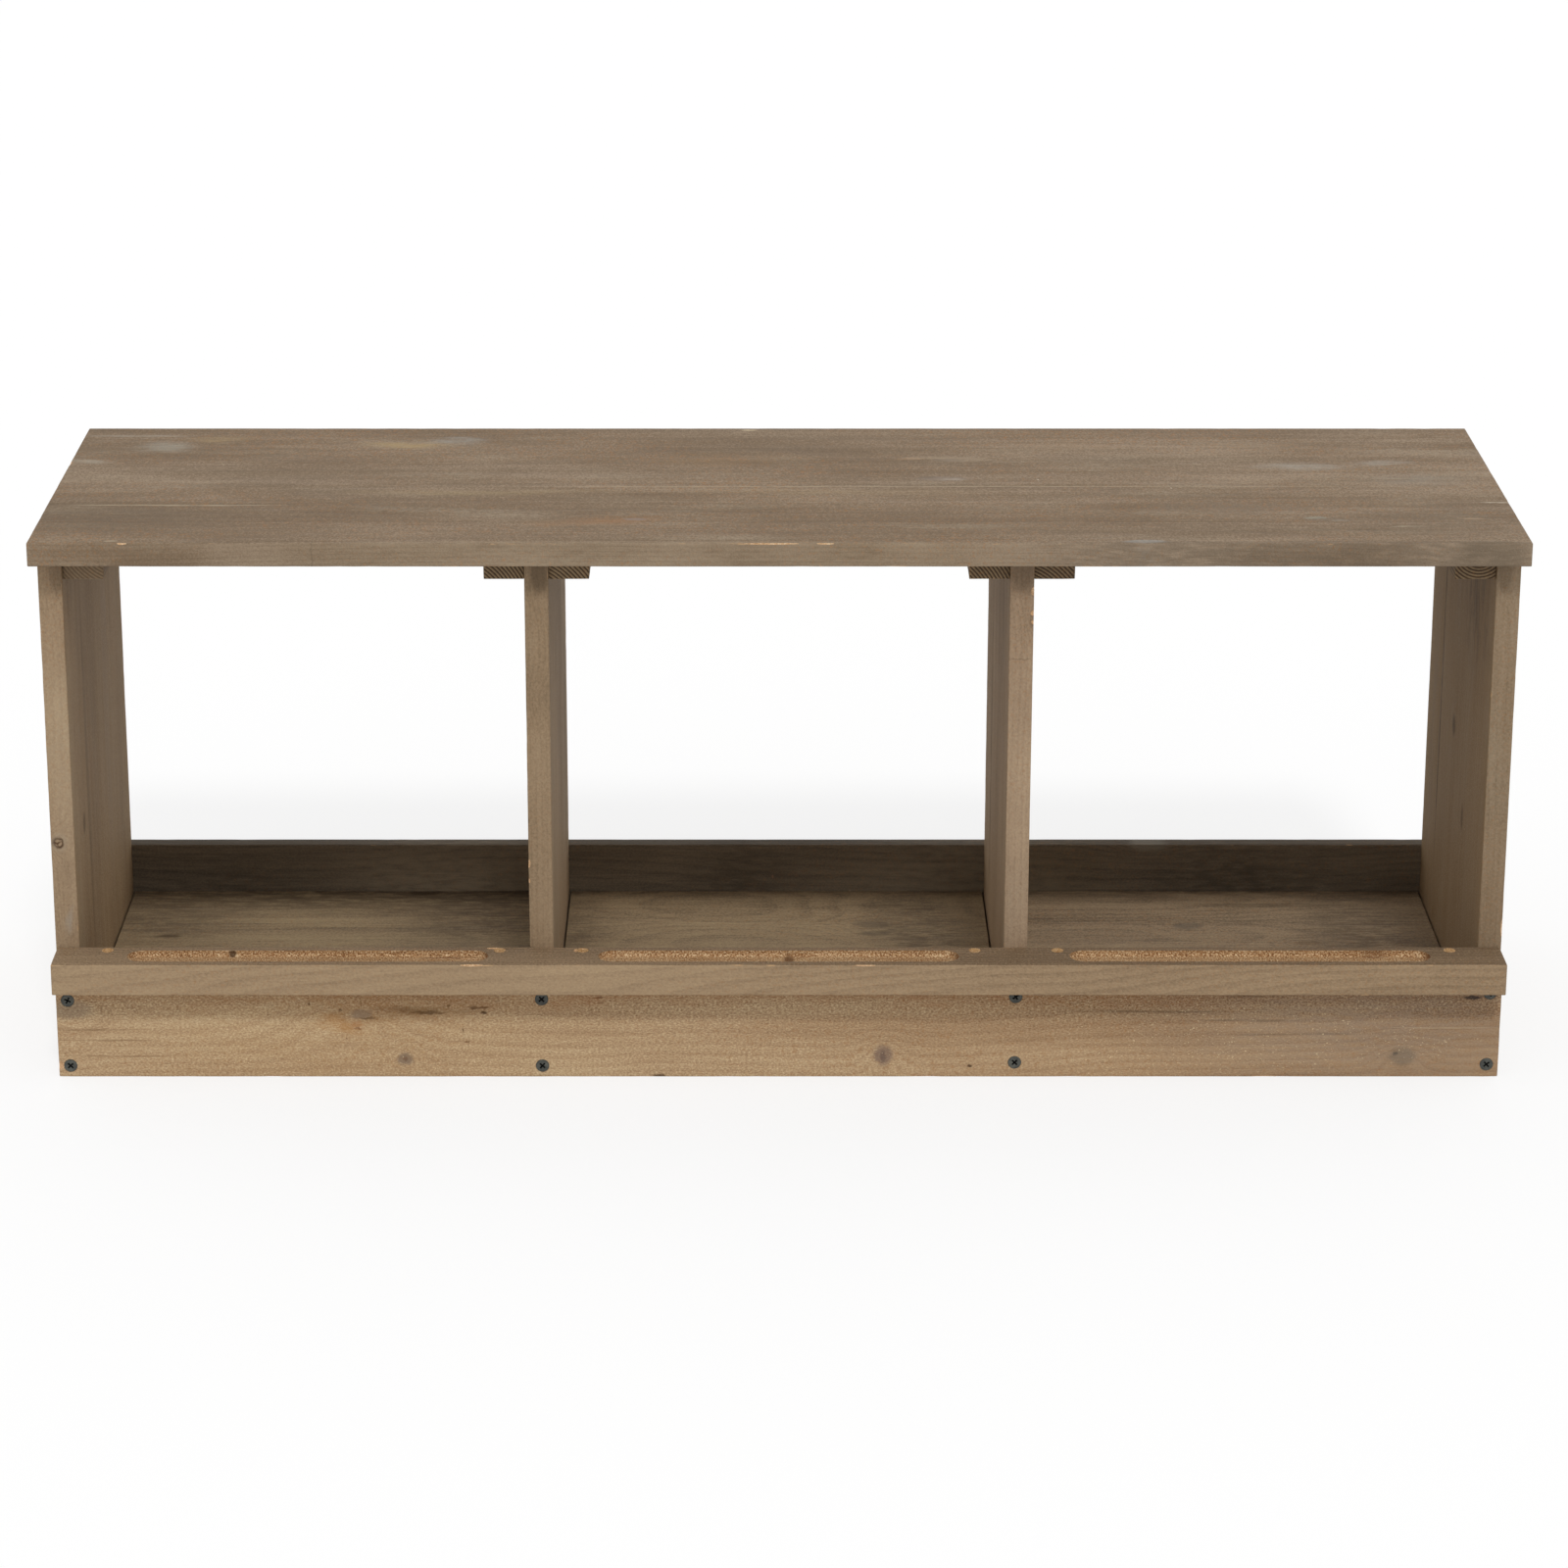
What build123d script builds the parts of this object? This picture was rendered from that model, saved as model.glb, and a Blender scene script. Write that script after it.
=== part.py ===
from build123d import *

import os

os.makedirs("parts", exist_ok=True)

# A free-standing nesting box for hens: three open bays side by side, in softwood boards.
# X runs along the box, Y from the front to the back and Z up, in millimetres.
# The origin lies under the middle of the whole box, on the surface that it stands on.

# Bays and the four upright boards
bay_names = ("left", "middle", "right")
upright_names = ("left_side", "left_divider", "right_divider", "right_side")
bay_width = 305.0
upright_thickness = 16.0
upright_depth = 260.0
upright_height = 365.0

# Roof
roof_thickness = 16.0
roof_side_overhang = 3.0
roof_front_overhang = 21.0

# Low boards across the foot of the front and of the back
front_board_thickness = 12.0
front_board_height = 68.0
back_board_thickness = 12.0
back_board_height = 68.0

# Ledge on top of the front board, with a foot groove for each bay
ledge_depth = 33.0
ledge_thickness = 22.0
ledge_end_setback = 1.0
groove_length = 243.0
groove_width = 20.0
groove_depth = 4.0
groove_bottom_round = 2.0
outer_groove_shift = 3.5

# Plugs over the ledge's screws
plug_diameter = 8.0
plug_length = 8.0
plug_fit = 0.05
plug_inset = 20.0

# Floor boards
floor_thickness = 16.0
floor_end_gap = 1.0
floor_edge_gap = 0.5

# Cleats: short battens that join the roof and the floor to the uprights
roof_cleat_width = 27.0
roof_cleat_height = 16.0
roof_cleat_front_setback = 4.0
roof_cleat_back_setback = 14.0
floor_cleat_width = 27.0
floor_cleat_height = 16.0
floor_cleat_setback = 4.0

# Eased edges
board_edge_round = 0.8
cleat_edge_round = 0.5

# Wood screws: the bite is how far a screw reaches into the second board
board_screw_head = 9.0
board_screw_shank = 4.5
board_screw_bite = 23.0
cleat_screw_head = 8.0
cleat_screw_shank = 4.0
roof_screw_bite = 10.0
floor_screw_bite = 10.0
roof_cleat_screw_bite = 11.0
floor_cleat_screw_bite = 11.0
ledge_screw_head = 7.0
ledge_screw_shank = 3.5
ledge_screw_bite = 24.0
screw_rim = 0.5
screw_rim_round = 0.2
screw_fit = 0.1

# Shapes and places given as shares of the sizes they follow
screw_point_share = 1.6
drive_span_share = 0.54
drive_arm_share = 0.13
drive_depth_share = 0.2
front_low_screw_shares = (0.12, 0.12, 0.155, 0.135)
front_high_screw_shares = (0.82, 0.835, 0.86, 0.9)
back_screw_shares = (0.13, 0.85)
upward_screw_shares = (0.08, 0.92)
sideways_screw_shares = {"left": (0.2, 0.8), "middle": (0.32, 0.68), "right": (0.2, 0.8)}

# Turns of the screws' cross slots, in degrees
drive_taper = 8.0
front_drive_turns = (45.0, 48.0, 45.0, 40.0, 65.0, 42.0, 35.0, 20.0)
common_drive_turn = 45.0

# Places along X
bay_pitch = bay_width + upright_thickness
body_width = len(bay_names) * bay_pitch + upright_thickness
upright_centres = [
    (index - (len(upright_names) - 1) / 2) * bay_pitch for index in range(len(upright_names))
]
bay_centres = [(index - (len(bay_names) - 1) / 2) * bay_pitch for index in range(len(bay_names))]
groove_pitch = bay_pitch - outer_groove_shift
groove_centres = [centre * groove_pitch / bay_pitch for centre in bay_centres]

# Places along Y
front_reach = max(ledge_depth, roof_front_overhang)
overall_depth = front_reach + upright_depth + back_board_thickness
body_front = front_reach - overall_depth / 2
body_back = body_front + upright_depth
back_face = body_back + back_board_thickness
front_face = body_front - front_board_thickness
ledge_middle = body_front - ledge_depth / 2
front_board_middle = body_front - front_board_thickness / 2
roof_front = body_front - roof_front_overhang

# Places along Z
ledge_top = front_board_height + ledge_thickness
roof_cleat_bottom = upright_height - roof_cleat_height


def screw_outline(head_radius, shank_radius, point_length, length):
    """Half of a screw's outline: a thin rim, a cone at 45 degrees, a shank and a point."""
    with BuildLine() as outline:
        Polyline(
            (0, 0),
            (head_radius, 0),
            (head_radius, -screw_rim),
            (shank_radius, -screw_rim - (head_radius - shank_radius)),
            (shank_radius, -(length - point_length)),
            (0, -length),
            close=True,
        )
    make_face(outline.edges())


def screw_and_seat(head, shank, length):
    """A countersunk screw, point down with the middle of its head's top at the origin, and
    the solid of the hole that it fits, larger all round by the screw's clearance."""
    point_length = screw_point_share * shank
    with BuildPart() as screw:
        with BuildSketch(Plane.XZ):
            screw_outline(head / 2, shank / 2, point_length, length)
        revolve(axis=Axis.Z)
        fillet(screw.edges().group_by(Axis.Z)[-1], radius=screw_rim_round)
        with BuildSketch(Plane.XY):
            Rectangle(drive_span_share * head, drive_arm_share * head)
            Rectangle(drive_arm_share * head, drive_span_share * head)
        extrude(amount=-drive_depth_share * head, taper=drive_taper, mode=Mode.SUBTRACT)
    with BuildPart() as seat:
        with BuildSketch(Plane.XZ):
            screw_outline(head / 2 + screw_fit, shank / 2 + screw_fit, point_length, length + screw_fit)
        revolve(axis=Axis.Z)
    return screw.part, seat.part


def screw_group(screw, planes, turns):
    """Copies of a screw, one on each plane, with its slot turned by the plane's own angle."""
    with BuildPart() as group:
        for plane, turn in zip(planes, turns):
            with Locations(plane.location * Rotation(0, 0, turn)):
                add(screw)
    return group.part


def drill(seat, planes):
    """Cuts the same hole at every plane into the part that is being made."""
    with Locations(*planes):
        add(seat, mode=Mode.SUBTRACT)


def near(planes, centre, reach):
    """The planes whose origins lie within a reach of a place along X."""
    return [plane for plane in planes if abs(plane.origin.X - centre) < reach]


def along(start, end, shares):
    """Places between two ends, given as shares of the way."""
    return [start + share * (end - start) for share in shares]


# Screws through the front and the back board into the edges of the uprights
front_screw, front_seat = screw_and_seat(
    board_screw_head, board_screw_shank, front_board_thickness + board_screw_bite
)
front_screw_planes = [
    Plane(origin=(x, front_face, share * front_board_height), x_dir=(1, 0, 0), z_dir=(0, -1, 0))
    for shares in (front_low_screw_shares, front_high_screw_shares)
    for x, share in zip(upright_centres, shares)
]

back_screw, back_seat = screw_and_seat(
    board_screw_head, board_screw_shank, back_board_thickness + board_screw_bite
)
back_screw_planes = [
    Plane(origin=(x, back_face, share * back_board_height), x_dir=(-1, 0, 0), z_dir=(0, 1, 0))
    for share in back_screw_shares
    for x in upright_centres
]

# Screws down through the ledge into the top edge of the front board, each under a plug
plug_bottom = ledge_top - plug_length
plug_centres = [
    (centre + hand * (bay_width / 2 - plug_inset), front_board_middle)
    for centre in bay_centres
    for hand in (-1, 1)
]
ledge_screw, ledge_seat = screw_and_seat(
    ledge_screw_head, ledge_screw_shank, ledge_thickness - plug_length + ledge_screw_bite
)
ledge_screw_planes = [Plane(origin=(x, y, plug_bottom)) for x, y in plug_centres]

# Cleats: one at each end of each bay, under the roof and under the floor
roof_cleat_start = body_front + roof_cleat_front_setback
roof_cleat_end = body_back - roof_cleat_back_setback
floor_cleat_start = body_front + floor_cleat_setback
floor_cleat_end = body_back - floor_cleat_setback


def upward_planes(bottom, width, start, end):
    """Screw places up through the undersides of all the cleats at one level."""
    return [
        Plane(
            origin=(centre + hand * (bay_width - width) / 2, y, bottom),
            x_dir=(1, 0, 0),
            z_dir=(0, 0, -1),
        )
        for centre in bay_centres
        for hand in (-1, 1)
        for y in along(start, end, upward_screw_shares)
    ]


def sideways_planes(height, width, start, end):
    """Screw places from all the cleats at one level into the uprights beside them."""
    return [
        Plane(
            origin=(centre + hand * (bay_width / 2 - width), y, height),
            x_dir=(0, 1, 0),
            z_dir=(-hand, 0, 0),
        )
        for bay, centre in zip(bay_names, bay_centres)
        for hand in (-1, 1)
        for y in along(start, end, sideways_screw_shares[bay])
    ]


roof_screw, roof_seat = screw_and_seat(
    cleat_screw_head, cleat_screw_shank, roof_cleat_height + roof_screw_bite
)
roof_screw_planes = upward_planes(
    roof_cleat_bottom, roof_cleat_width, roof_cleat_start, roof_cleat_end
)

floor_screw, floor_seat = screw_and_seat(
    cleat_screw_head, cleat_screw_shank, floor_cleat_height + floor_screw_bite
)
floor_screw_planes = upward_planes(0, floor_cleat_width, floor_cleat_start, floor_cleat_end)

roof_cleat_screw, roof_cleat_seat = screw_and_seat(
    cleat_screw_head, cleat_screw_shank, roof_cleat_width + roof_cleat_screw_bite
)
roof_cleat_screw_planes = sideways_planes(
    upright_height - roof_cleat_height / 2, roof_cleat_width, roof_cleat_start, roof_cleat_end
)

floor_cleat_screw, floor_cleat_seat = screw_and_seat(
    cleat_screw_head, cleat_screw_shank, floor_cleat_width + floor_cleat_screw_bite
)
floor_cleat_screw_planes = sideways_planes(
    floor_cleat_height / 2, floor_cleat_width, floor_cleat_start, floor_cleat_end
)

# Roof panel
with BuildPart() as roof_panel:
    with BuildSketch(Plane.XY.offset(upright_height)):
        with Locations((0, (roof_front + back_face) / 2)):
            Rectangle(body_width + 2 * roof_side_overhang, back_face - roof_front)
    extrude(amount=roof_thickness)
    fillet(roof_panel.edges(), radius=board_edge_round)
    drill(roof_seat, roof_screw_planes)
roof_panel.part.label = "roof_panel"
export_step(roof_panel.part, "parts/roof_panel.step")

# Sides and dividers
for name, centre in zip(upright_names, upright_centres):
    with BuildPart() as upright:
        with BuildSketch(Plane.XY):
            with Locations((centre, body_front + upright_depth / 2)):
                Rectangle(upright_thickness, upright_depth)
        extrude(amount=upright_height)
        fillet(upright.edges(), radius=board_edge_round)
        drill(front_seat, near(front_screw_planes, centre, upright_thickness))
        drill(back_seat, near(back_screw_planes, centre, upright_thickness))
        drill(roof_cleat_seat, near(roof_cleat_screw_planes, centre, bay_width / 2))
        drill(floor_cleat_seat, near(floor_cleat_screw_planes, centre, bay_width / 2))
    upright.part.label = name
    export_step(upright.part, f"parts/{name}.step")

# Front board
with BuildPart() as front_board:
    with BuildSketch(Plane.XY):
        with Locations((0, front_board_middle)):
            Rectangle(body_width, front_board_thickness)
    extrude(amount=front_board_height)
    fillet(front_board.edges(), radius=board_edge_round)
    drill(front_seat, front_screw_planes)
    drill(ledge_seat, ledge_screw_planes)
front_board.part.label = "front_board"
export_step(front_board.part, "parts/front_board.step")

# Back board
with BuildPart() as back_board:
    with BuildSketch(Plane.XY):
        with Locations((0, body_back + back_board_thickness / 2)):
            Rectangle(body_width, back_board_thickness)
    extrude(amount=back_board_height)
    fillet(back_board.edges(), radius=board_edge_round)
    drill(back_seat, back_screw_planes)
back_board.part.label = "back_board"
export_step(back_board.part, "parts/back_board.step")

# Ledge, with its grooves and the holes for its plugs and screws
with BuildPart() as front_ledge:
    with BuildSketch(Plane.XY.offset(front_board_height)):
        with Locations((0, ledge_middle)):
            Rectangle(body_width - 2 * ledge_end_setback, ledge_depth)
    extrude(amount=ledge_thickness)
    fillet(front_ledge.edges(), radius=board_edge_round)
    with BuildSketch(Plane.XY.offset(ledge_top)):
        with Locations(*[(centre, ledge_middle) for centre in groove_centres]):
            SlotOverall(groove_length, groove_width)
    extrude(amount=-groove_depth, mode=Mode.SUBTRACT)
    groove_bottoms = front_ledge.faces(Select.LAST).filter_by(Plane.XY).group_by(Axis.Z)[0]
    fillet(groove_bottoms.edges(), radius=groove_bottom_round)
    with BuildSketch(Plane.XY.offset(ledge_top)):
        with Locations(*plug_centres):
            Circle(plug_diameter / 2 + plug_fit)
    extrude(amount=-plug_length, mode=Mode.SUBTRACT)
    drill(ledge_seat, ledge_screw_planes)
front_ledge.part.label = "front_ledge"
export_step(front_ledge.part, "parts/front_ledge.step")

# Plugs, flush with the ledge's top
with BuildPart() as ledge_plugs:
    with BuildSketch(Plane.XY.offset(plug_bottom)):
        with Locations(*plug_centres):
            Circle(plug_diameter / 2)
    extrude(amount=plug_length)
ledge_plugs.part.label = "ledge_plugs"
export_step(ledge_plugs.part, "parts/ledge_plugs.step")

# Floor boards, one to a bay
for bay, centre in zip(bay_names, bay_centres):
    with BuildPart() as floor:
        with BuildSketch(Plane.XY.offset(floor_cleat_height)):
            with Locations((centre, body_front + upright_depth / 2)):
                Rectangle(bay_width - 2 * floor_end_gap, upright_depth - 2 * floor_edge_gap)
        extrude(amount=floor_thickness)
        fillet(floor.edges(), radius=board_edge_round)
        drill(floor_seat, near(floor_screw_planes, centre, bay_width / 2))
    floor.part.label = f"floor_{bay}"
    export_step(floor.part, f"parts/floor_{bay}.step")

# Roof cleats and floor cleats, one at each end of each bay
for bay, bay_centre in zip(bay_names, bay_centres):
    for end, hand in (("left", -1), ("right", 1)):
        centre = bay_centre + hand * (bay_width - roof_cleat_width) / 2
        with BuildPart() as roof_cleat:
            with BuildSketch(Plane.XY.offset(roof_cleat_bottom)):
                with Locations((centre, (roof_cleat_start + roof_cleat_end) / 2)):
                    Rectangle(roof_cleat_width, roof_cleat_end - roof_cleat_start)
            extrude(amount=roof_cleat_height)
            fillet(roof_cleat.edges(), radius=cleat_edge_round)
            drill(roof_seat, near(roof_screw_planes, centre, roof_cleat_width))
            drill(roof_cleat_seat, near(roof_cleat_screw_planes, centre, roof_cleat_width))
        roof_cleat.part.label = f"roof_cleat_{bay}_bay_{end}"
        export_step(roof_cleat.part, f"parts/roof_cleat_{bay}_bay_{end}.step")

        centre = bay_centre + hand * (bay_width - floor_cleat_width) / 2
        with BuildPart() as floor_cleat:
            with BuildSketch(Plane.XY):
                with Locations((centre, (floor_cleat_start + floor_cleat_end) / 2)):
                    Rectangle(floor_cleat_width, floor_cleat_end - floor_cleat_start)
            extrude(amount=floor_cleat_height)
            fillet(floor_cleat.edges(), radius=cleat_edge_round)
            drill(floor_seat, near(floor_screw_planes, centre, floor_cleat_width))
            drill(floor_cleat_seat, near(floor_cleat_screw_planes, centre, floor_cleat_width))
        floor_cleat.part.label = f"floor_cleat_{bay}_bay_{end}"
        export_step(floor_cleat.part, f"parts/floor_cleat_{bay}_bay_{end}.step")

# Screws, one node for each kind
screw_groups = (
    ("front_board_screws", front_screw, front_screw_planes),
    ("back_board_screws", back_screw, back_screw_planes),
    ("ledge_screws", ledge_screw, ledge_screw_planes),
    ("roof_screws", roof_screw, roof_screw_planes),
    ("roof_cleat_screws", roof_cleat_screw, roof_cleat_screw_planes),
    ("floor_screws", floor_screw, floor_screw_planes),
    ("floor_cleat_screws", floor_cleat_screw, floor_cleat_screw_planes),
)
for name, screw, planes in screw_groups:
    turns = front_drive_turns if screw is front_screw else [common_drive_turn] * len(planes)
    group = screw_group(screw, planes, turns)
    group.label = name
    export_step(group, f"parts/{name}.step")
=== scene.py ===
# %% [markdown]
# A nesting box for hens, about a metre long, in stained softwood. Three hens sit side by side in
# its open bays, and step over a low ledge to get in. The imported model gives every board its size
# and place. This lesson dresses that model: each board is sawn again from a cube, its edges are
# eased and knocked about, its screw holes and grooves are cut, and it is stained in a finish that
# follows the rings of the tree.

# %% The frame
import math

import bmesh
import bpy
from mathutils import Matrix, Vector


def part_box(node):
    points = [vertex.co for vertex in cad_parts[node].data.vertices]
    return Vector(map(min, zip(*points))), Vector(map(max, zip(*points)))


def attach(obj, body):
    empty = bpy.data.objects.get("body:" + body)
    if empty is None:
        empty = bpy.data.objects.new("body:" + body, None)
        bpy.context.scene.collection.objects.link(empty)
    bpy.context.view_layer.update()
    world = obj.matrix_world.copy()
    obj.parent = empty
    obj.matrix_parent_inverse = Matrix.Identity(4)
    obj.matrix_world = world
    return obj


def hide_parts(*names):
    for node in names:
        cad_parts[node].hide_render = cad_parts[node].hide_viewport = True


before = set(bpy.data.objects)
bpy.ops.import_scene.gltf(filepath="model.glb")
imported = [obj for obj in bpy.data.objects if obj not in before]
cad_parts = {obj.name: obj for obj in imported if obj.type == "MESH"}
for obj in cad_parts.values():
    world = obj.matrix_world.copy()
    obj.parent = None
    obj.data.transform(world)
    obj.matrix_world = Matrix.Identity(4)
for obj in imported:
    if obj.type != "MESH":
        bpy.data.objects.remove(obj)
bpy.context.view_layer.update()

mm = 0.001
print("nodes in the frame:", len(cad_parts))

# %% [markdown]
# The camera comes first, because every later choice is judged through it. The photograph looks
# at the box from the front and from above, so far away that the perspective is gentle. A long
# lens from three metres gives that. The photograph's uprights stay nearly parallel, which a lens
# shift would give, but a shift moves the picture in every other view too, so it is kept small.

# %% The camera
camera_place = (-18 * mm, -2940 * mm, 1202 * mm)
camera_pitch = math.radians(17.42)
camera_lens = 102.5
camera_shift = (0.0204, -0.1)

bpy.ops.object.camera_add(location=camera_place, rotation=(math.pi / 2 - camera_pitch, 0, 0))
camera = bpy.context.object
camera.name = "camera"
camera.data.lens = camera_lens
camera.data.shift_x, camera.data.shift_y = camera_shift
bpy.context.scene.camera = camera
print("camera at", [round(value, 3) for value in camera.location], "lens", camera.data.lens)

# %% [markdown]
# The light is the photograph's. The roof throws a short shadow on the fronts of the uprights,
# about as long as its overhang, and its shadow inside ends where the floor meets the back board,
# so one main light stands about fifty degrees up in front, a little to the right. The shadows are
# soft and far from black, though, so most of the light comes from an even sky.

# %% The light
sun_height = math.radians(51)
sun_side = math.radians(9)
sun_spread = math.radians(9)
sun_strength = 1.0
sky_strength = 0.73

bpy.ops.object.light_add(type="SUN", rotation=(math.pi / 2 - sun_height, 0, sun_side))
sun = bpy.context.object
sun.name = "main_light"
sun.data.energy = sun_strength
sun.data.angle = sun_spread

world = bpy.data.worlds.new("studio")
world.use_nodes = True
bpy.context.scene.world = world
bpy.context.scene.view_settings.view_transform = "Standard"
print("main light", sun.data.energy, "sky", sky_strength)

# %% [markdown]
# A finish is a small program: it starts from a point on the wood and works out a colour, a
# roughness and a height. Wired by hand it would be a long tangle of nodes, so one class wraps a
# socket, and the signs + - * / on it add the nodes. Numbers go through Math nodes, vectors
# through Vector Math and colours through Mix. Every other node comes from one method.

# %% Shader sums as Python
def is_vector(value):
    """True for three numbers, and for a strand that carries them."""
    return isinstance(value, tuple) or isinstance(value, Strand) and value.socket.type == "VECTOR"


class Strand:
    """One socket of a finish. Sums on strands add the nodes that work them out."""

    def __init__(self, tree, socket=None):
        self.tree = tree
        self.socket = socket

    def node(self, kind, settings, values, output=0):
        """Adds any node: its settings first, then the values or links of its sockets."""
        added = self.tree.nodes.new(kind)
        for name, setting in settings.items():
            setattr(added, name, setting)
        for name, value in values.items():
            if isinstance(value, Strand):
                self.tree.links.new(value.socket, added.inputs[name])
            else:
                added.inputs[name].default_value = value
        return Strand(self.tree, added.outputs[output])

    def work(self, operation, *values):
        """A Math node, or a Vector Math node where one of the values is a vector."""
        kind = "ShaderNodeMath"
        if any(is_vector(value) for value in values):
            kind = "ShaderNodeVectorMath"
            values = [(part,) * 3 if isinstance(part, (int, float)) else part for part in values]
        return self.node(kind, {"operation": operation}, dict(enumerate(values)))

    def __add__(self, other):
        return self.work("ADD", self, other)

    __radd__ = __add__

    def __sub__(self, other):
        return self.work("SUBTRACT", self, other)

    def __rsub__(self, other):
        return self.work("SUBTRACT", other, self)

    def __mul__(self, other):
        return self.work("MULTIPLY", self, other)

    def __truediv__(self, other):
        return self.work("DIVIDE", self, other)

    def __abs__(self):
        return self.work("ABSOLUTE", self)

    def top(self, other):
        """The larger of two numbers."""
        return self.work("MAXIMUM", self, other)

    def least(self, other):
        """The smaller of two numbers."""
        return self.work("MINIMUM", self, other)

    def parts(self):
        """The three numbers of a vector."""
        split = self.node("ShaderNodeSeparateXYZ", {}, {0: self})
        return [Strand(self.tree, socket) for socket in split.socket.node.outputs]

    def beside(self, second, third=0.0):
        """A vector of this number and two more."""
        return self.node("ShaderNodeCombineXYZ", {}, {0: self, 1: second, 2: third})

    def length(self):
        """How long a vector is."""
        return self.node("ShaderNodeVectorMath", {"operation": "LENGTH"}, {0: self}, output=1)

    def step(self, low, high):
        """0 below the low value, 1 above the high one, and a smooth rise between them."""
        ends = {"Value": self, "From Min": low, "From Max": high}
        return self.node("ShaderNodeMapRange", {"interpolation_type": "SMOOTHSTEP"}, ends)

    def noise(self, stretch, detail=2.0, roughness=0.5):
        """Clouds in space, about 0.5 on the whole, with so many to the metre along each way."""
        values = {"Vector": self * stretch, "Scale": 1.0, "Detail": detail, "Roughness": roughness}
        return self.node("ShaderNodeTexNoise", {}, values)

    def ramp(self, shades):
        """The colour of a level: the three shades stand at 0, a half and 1."""
        colour = self.node("ShaderNodeValToRGB", {}, {0: self})
        stops = colour.socket.node.color_ramp.elements
        stops.new(0.5)
        for stop, shade in zip(stops, shades):
            stop.color = tone(shade)
        return colour

    def over(self, other, factor):
        """This colour with another laid over it, as much as the factor says."""
        values = {0: factor, 6: self, 7: other}
        return self.node("ShaderNodeMix", {"data_type": "RGBA"}, values, output=2)


print("shader sums ready")

# %% [markdown]
# Colours are easiest to judge as the eye reads them, in six hexadecimal digits, but a shader
# works in linear light, so a small function turns one into the other. Two more open a material
# and join the results to its shader, and every finish below uses them.

# %% Opening and closing a finish
def tone(code):
    """A colour such as 8B7B66 in the linear light of the shader."""
    levels = [int(code[start:start + 2], 16) / 255 for start in (0, 2, 4)]
    return (*(((level + 0.055) / 1.055) ** 2.4 for level in levels), 1.0)


def open_finish(name, gloss=0.3):
    """A new material, the strand of places on the object, and its shader."""
    material = bpy.data.materials.new(name)
    material.use_nodes = True
    shader = material.node_tree.nodes["Principled BSDF"]
    shader.inputs["Specular IOR Level"].default_value = gloss
    start = Strand(material.node_tree)
    return material, start.node("ShaderNodeTexCoord", {}, {}, output=3), shader


def close_finish(shader, colour, roughness, height, depth):
    """Joins a colour, a roughness and a height, which bumps by a depth, to a shader."""
    bump = height.node("ShaderNodeBump", {}, {"Height": height, "Distance": depth})
    for name, strand in (("Base Color", colour), ("Roughness", roughness), ("Normal", bump)):
        colour.tree.links.new(strand.socket, shader.inputs[name])


print("stain body in linear light:", [round(level, 3) for level in tone("8B7B66")])

# %% [markdown]
# The studio is a white sweep. What the camera sees of the sky is plain white, while the light
# that it gives stays soft. The floor is nearly white as well and keeps the box's shadow. A glow
# that only the camera sees lifts it to the white of the photograph.

# %% The studio
floor_size = 40.0
floor_gap = 0.1 * mm
floor_grey = 0.8
floor_lift = -0.5
floor_glow = 0.71


def seen(tree):
    """1 for what the camera sees, straight or in gloss and glass, and 0 for falling light."""
    rays = Strand(tree).node("ShaderNodeLightPath", {}, {}).socket.node.outputs
    straight, gloss, glass = (
        Strand(tree, rays[f"Is {kind} Ray"]) for kind in ("Camera", "Glossy", "Transmission")
    )
    return straight.top(gloss).top(glass)


in_sight = seen(world.node_tree)
brightness = in_sight * (1 - sky_strength) + sky_strength
background = world.node_tree.nodes["Background"]
background.inputs["Color"].default_value = (1, 1, 1, 1)
world.node_tree.links.new(brightness.socket, background.inputs["Strength"])

bpy.ops.mesh.primitive_plane_add(size=floor_size, location=(0, 0, -floor_gap))
floor = bpy.context.object
floor.name = "studio_floor"
floor_finish, _, floor_shader = open_finish("studio_floor", gloss=0.0)
in_sight = seen(floor_finish.node_tree)
paper = (in_sight * floor_lift + floor_grey) * (1, 1, 1)
glow = in_sight * floor_glow * (1, 1, 1)
floor_finish.node_tree.links.new(paper.socket, floor_shader.inputs["Base Color"])
floor_finish.node_tree.links.new(glow.socket, floor_shader.inputs["Emission Color"])
floor_shader.inputs["Roughness"].default_value = 1.0
floor_shader.inputs["Emission Strength"].default_value = 1.0
floor.data.materials.append(floor_finish)
print("floor", floor_size, "metres across")

# %% [markdown]
# Wood is a solid pattern: rings round a pith that runs along the tree. A board shows long
# streaks on its face and arcs on its ends because it cuts those rings. So the finish works in
# three dimensions from one board's own places, put in the order along the grain, across the
# board and through it. A wide board is glued from strips, each from another part of a tree.

# %% Rings of the tree
glue_rim = 0.7 * mm
glue_core = 0.2 * mm
late_wood = (0.3, 0.86)
season_end = (0.88, 1.0)


def grain_order(half, grain):
    """The axes along the grain, across the board and through it."""
    others = sorted((axis for axis in range(3) if axis != grain), key=lambda axis: -half[axis])
    return grain, *others


def strip_places(across, width, seed):
    """Where a place lies in its strip, the strip's own chance value, and its glue line."""
    count = across / width
    index = count.work("FLOOR", count)
    middle = count - index - 0.5
    chance = index.node("ShaderNodeTexWhiteNoise", {"noise_dimensions": "1D"}, {"W": index + seed})
    glue = abs(middle).step(0.5 - glue_rim / width, 0.5 - glue_core / width)
    return middle * width, chance, glue


def ring_lines(sideways, depth, spacing, shift):
    """The dark late wood of each ring, from 0 to 1, at a distance from the pith."""
    turns = sideways.beside(depth).length() / spacing + shift
    part = turns.work("FRACT", turns)
    return part.step(*late_wood) * (1 - part.step(*season_end))


print("grain order of a board 1 m long, 0.3 m wide:", grain_order(Vector((0.5, 0.15, 0.008)), 0))

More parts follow.
